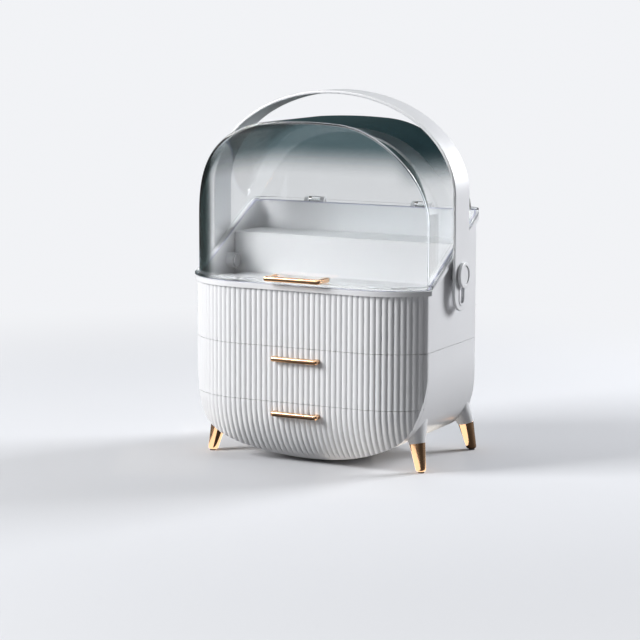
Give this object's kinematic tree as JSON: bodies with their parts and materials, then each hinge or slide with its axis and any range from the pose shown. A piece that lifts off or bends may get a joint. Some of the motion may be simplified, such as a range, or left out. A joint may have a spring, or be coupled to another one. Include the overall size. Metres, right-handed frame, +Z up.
{
  "type": "makeup organizer",
  "caption": "Countertop organizer with a bowed, reeded case, sliding drawers, a clear domed lid hinged at the back, a carrying strap and splayed metal feet.",
  "frame": {"origin": "centre of the footprint, at the level the feet stand on", "axes": "+Z up, -Y towards the user (the drawers open along -Y), +X to the right as the user sees it"},
  "size_m": [0.2846, 0.1863, 0.374],
  "materials": {
    "white_shell": "moulded white, soft gloss",
    "white_tray": "moulded white, fine satin",
    "clear_dome": "clear, polished",
    "gold": "polished rose gold plate",
    "glide_plastic": "low-friction, satin",
    "seal_rubber": "soft translucent grey",
    "pad_rubber": "matte",
    "pin_steel": "plain"
  },
  "bodies": {
    "case": {"upper_case": "white_shell", "lower_case": "white_shell", "shelf": "white_tray", "case_screws": "pin_steel", "display_insert": "white_tray", "hinge_pin_left": "pin_steel", "hinge_pin_right": "pin_steel", "front_left_foot": "gold", "rear_left_foot": "gold", "front_right_foot": "gold", "rear_right_foot": "gold", "foot_studs": "pin_steel", "foot_pads": "pad_rubber"},
    "drawer_2": {"drawer_2_front": "white_shell", "drawer_2_tray": "white_tray", "drawer_2_glides": "glide_plastic", "drawer_2_pull": "gold", "drawer_2_pull_screws": "pin_steel", "drawer_2_front_screws": "pin_steel"},
    "drawer_3": {"drawer_3_front": "white_shell", "drawer_3_tray": "white_tray", "drawer_3_glides": "glide_plastic", "drawer_3_pull": "gold", "drawer_3_pull_screws": "pin_steel", "drawer_3_front_screws": "pin_steel"},
    "lid": {"lid_dome": "clear_dome", "lid_seal": "seal_rubber", "lid_pull": "gold", "lid_pull_screws": "pin_steel"},
    "pivots": {"pivot_button_left": "white_shell", "pivot_button_right": "white_shell", "pivot_washer_left": "glide_plastic", "pivot_washer_right": "glide_plastic", "pivot_pin_left": "pin_steel", "pivot_pin_right": "pin_steel"},
    "strap": {"handle_strap": "white_shell"}
  },
  "joints": [
    {"name": "lid_hinge", "type": "hinge", "parent": "case", "child": "lid", "pos_m": [0, 0.0832, 0.2529], "axis": [-1, 0, 0], "range_deg": [0, 75]},
    {"name": "handle_swing", "type": "hinge", "parent": "case", "child": "pivots", "pos_m": [0, 0.0113, 0.193], "axis": [-1, 0, 0], "range_deg": [0, 135]},
    {"name": "handle_lift", "type": "slide", "parent": "pivots", "child": "strap", "axis": [0, 0, 1], "range_m": [0, 0.022]},
    {"name": "drawer_2_slide", "type": "slide", "parent": "case", "child": "drawer_2", "axis": [0, -1, 0], "range_m": [0, 0.095]},
    {"name": "drawer_3_slide", "type": "slide", "parent": "case", "child": "drawer_3", "axis": [0, -1, 0], "range_m": [0, 0.095]}
  ],
  "couplings": [
    {"joint": "handle_swing", "follows": "lid_hinge", "ratio": 1.8}
  ]
}
